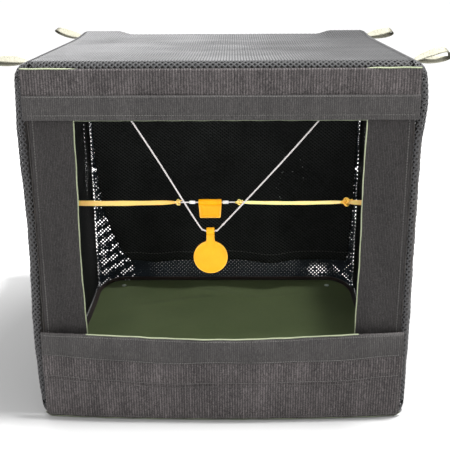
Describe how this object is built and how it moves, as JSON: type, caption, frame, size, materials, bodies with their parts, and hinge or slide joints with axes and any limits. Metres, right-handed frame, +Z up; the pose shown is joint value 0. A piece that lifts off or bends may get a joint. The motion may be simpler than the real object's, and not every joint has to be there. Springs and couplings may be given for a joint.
{
  "type": "pop-up target catch box",
  "caption": "Soft-sided open-fronted mesh box on spring-wire hoops that folds flat, with paddles on cords in its opening and a hanging rear curtain.",
  "frame": {"origin": "middle of the footprint, on the ground, under the middle of the floor panel", "axes": "+Z up, +X to the right seen from the front, the opening faces -Y"},
  "size_m": [0.4672, 0.3738, 0.3952],
  "materials": {
    "green_cloth": "matt coated Oxford weave, dark green",
    "ground_cloth": "matt coated Oxford weave, darker green",
    "black_net": "open knitted net, near black",
    "spring_steel": "bright spring wire",
    "black_binding": "plain woven binding tape, brown black",
    "ribbed_webbing": "coarse vertically ribbed webbing, charcoal",
    "woven_band": "plain fine weave, charcoal",
    "green_piping": "pale green bound edge",
    "curtain_cloth": "dense knitted net, black",
    "pale_stud": "pale satin",
    "yellow_elastic": "translucent latex, amber yellow",
    "white_cord": "thin twisted cord, off white",
    "white_bead": "glossy white",
    "orange_paddle": "satin orange",
    "olive_webbing": "flat herringbone webbing, cream olive"
  },
  "bodies": {
    "base": {"floor_cloth": "green_cloth", "ground_sheet": "ground_cloth", "floor_wire": "spring_steel", "floor_binding": "black_binding", "floor_studs": "pale_stud", "front_bottom_band": "ribbed_webbing", "bottom_hem_tape": "ribbed_webbing", "bottom_fold_tape": "ribbed_webbing", "bottom_piping": "green_piping", "opening_bottom_piping": "green_piping", "back_mesh_lower": "black_net"},
    "left_side": {"left_inner_mesh": "black_net", "left_outer_mesh": "black_net", "left_wire": "spring_steel", "left_binding": "black_binding", "front_left_band": "woven_band", "left_piping": "green_piping"},
    "right_side": {"right_inner_mesh": "black_net", "right_outer_mesh": "black_net", "right_wire": "spring_steel", "right_binding": "black_binding", "front_right_band": "woven_band", "right_piping": "green_piping"},
    "top": {"top_lining": "black_net", "top_mesh": "black_net", "top_wire": "spring_steel", "top_binding": "black_binding", "front_top_band": "ribbed_webbing", "top_hem_tape": "ribbed_webbing", "top_seam_piping": "green_piping", "opening_top_piping": "green_piping", "back_mesh_upper": "black_net", "curtain_header": "black_binding"},
    "cross_line": {"elastic_left": "yellow_elastic", "elastic_right": "yellow_elastic", "elastic_end": "yellow_elastic", "line_cord": "white_cord", "line_knots": "yellow_elastic", "cord_beads": "white_bead"},
    "square_target": {"square_paddle": "orange_paddle"},
    "tie_pair": {"cord_ties": "white_cord"},
    "hanging_cord": {"v_cord": "white_cord"},
    "round_target": {"round_paddle": "orange_paddle"},
    "rear_curtain": {"curtain": "curtain_cloth"},
    "loop_front_left": {"hang_loop_front_left": "olive_webbing"},
    "loop_front_right": {"hang_loop_front_right": "olive_webbing"},
    "loop_rear_left": {"hang_loop_rear_left": "olive_webbing"},
    "loop_rear_right": {"hang_loop_rear_right": "olive_webbing"}
  },
  "joints": [
    {"name": "fold", "type": "hinge", "parent": "base", "child": "left_side", "pos_m": [-0.196, 0, 0.01], "axis": [0, 1, 0], "range_deg": [0, 80], "stiffness_Nm_per_rad": 6, "deforming": ["curtain", "v_cord"]},
    {"name": "right_fold", "type": "hinge", "parent": "base", "child": "right_side", "pos_m": [0.196, 0, 0.01], "axis": [0, 1, 0], "range_deg": [0, 80]},
    {"name": "top_fold", "type": "hinge", "parent": "left_side", "child": "top", "pos_m": [-0.196, 0, 0.38], "axis": [0, 1, 0], "range_deg": [-80, 0]},
    {"name": "line_fold", "type": "hinge", "parent": "left_side", "child": "cross_line", "pos_m": [-0.196, -0.15, 0.2395], "axis": [0, 1, 0], "range_deg": [-80, 0]},
    {"name": "tie_fold", "type": "hinge", "parent": "top", "child": "tie_pair", "pos_m": [0.0085, -0.165, 0.374], "axis": [1, 0, 0], "range_deg": [0, 85]},
    {"name": "square_spin", "type": "hinge", "parent": "cross_line", "child": "square_target", "pos_m": [-0.0125, -0.15, 0.2395], "axis": [1, 0, 0], "continuous": true},
    {"name": "cord_swing", "type": "hinge", "parent": "tie_pair", "child": "hanging_cord", "pos_m": [0.0085, -0.165, 0.374], "axis": [1, 0, 0], "range_deg": [-15, 4]},
    {"name": "round_spin", "type": "hinge", "parent": "hanging_cord", "child": "round_target", "pos_m": [-0.012, -0.165, 0.2115], "axis": [-1, 0, 0], "range_deg": [-112, 180]},
    {"name": "curtain_swing", "type": "hinge", "parent": "top", "child": "rear_curtain", "pos_m": [0, 0.15, 0.3771], "axis": [1, 0, 0], "range_deg": [-25, 4]},
    {"name": "loop_flop_front_left", "type": "hinge", "parent": "top", "child": "loop_front_left", "pos_m": [-0.206, -0.155, 0.3928], "axis": [0, 1, 0], "range_deg": [-70, 90], "stiffness_Nm_per_rad": 0.01},
    {"name": "loop_flop_front_right", "type": "hinge", "parent": "top", "child": "loop_front_right", "pos_m": [0.206, -0.155, 0.3928], "axis": [0, -1, 0], "range_deg": [-70, 90], "stiffness_Nm_per_rad": 0.01},
    {"name": "loop_flop_rear_left", "type": "hinge", "parent": "top", "child": "loop_rear_left", "pos_m": [-0.206, 0.158, 0.3928], "axis": [0, 1, 0], "range_deg": [-70, 90], "stiffness_Nm_per_rad": 0.01},
    {"name": "loop_flop_rear_right", "type": "hinge", "parent": "top", "child": "loop_rear_right", "pos_m": [0.206, 0.158, 0.3928], "axis": [0, -1, 0], "range_deg": [-70, 90], "stiffness_Nm_per_rad": 0.01}
  ],
  "couplings": [
    {"joint": "right_fold", "follows": "fold", "ratio": 1},
    {"joint": "top_fold", "follows": "fold", "ratio": -1},
    {"joint": "line_fold", "follows": "fold", "ratio": -1},
    {"joint": "tie_fold", "follows": "fold", "ratio": 1.06}
  ]
}
